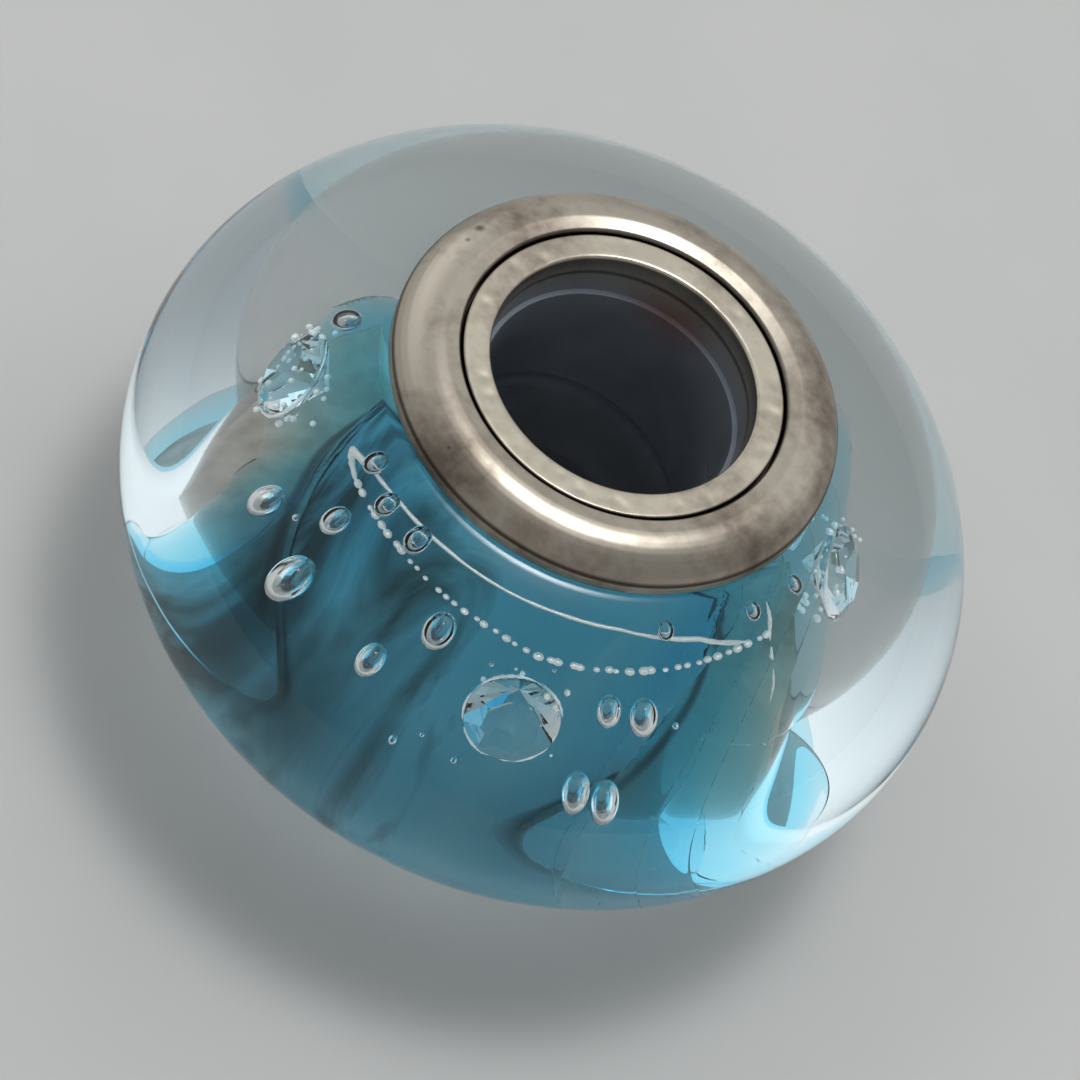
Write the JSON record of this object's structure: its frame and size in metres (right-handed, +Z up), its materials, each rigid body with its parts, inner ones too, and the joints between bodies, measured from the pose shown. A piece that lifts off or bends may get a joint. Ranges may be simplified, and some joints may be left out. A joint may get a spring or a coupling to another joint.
{
  "type": "european charm bead",
  "caption": "Oblate clear glass bead with teal glass wound on the front of its core, small cut stones and air bubbles, on a silver tube with domed end rings and a threaded bore.",
  "frame": {"origin": "on the bead's axis, at the level of the surface that it rests on", "axes": "+Z up the bore, from the ring that it rests on to the ring that faces up; -Y towards the viewer"},
  "size_m": [0.014, 0.014, 0.0081],
  "materials": {
    "clear_glass": "polished clear lampwork glass",
    "teal_glass": "transparent teal lampwork glass",
    "silver": "polished silver, lightly tarnished, bore blackened",
    "zirconia": "clear cut cubic zirconia"
  },
  "bodies": {
    "root": {"glass_casing": "clear_glass", "colour_core": "teal_glass", "core_tube": "silver", "end_ring_top": "silver", "end_ring_bottom": "silver", "stone_1": "zirconia", "stone_2": "zirconia", "stone_3": "zirconia"}
  },
  "joints": []
}
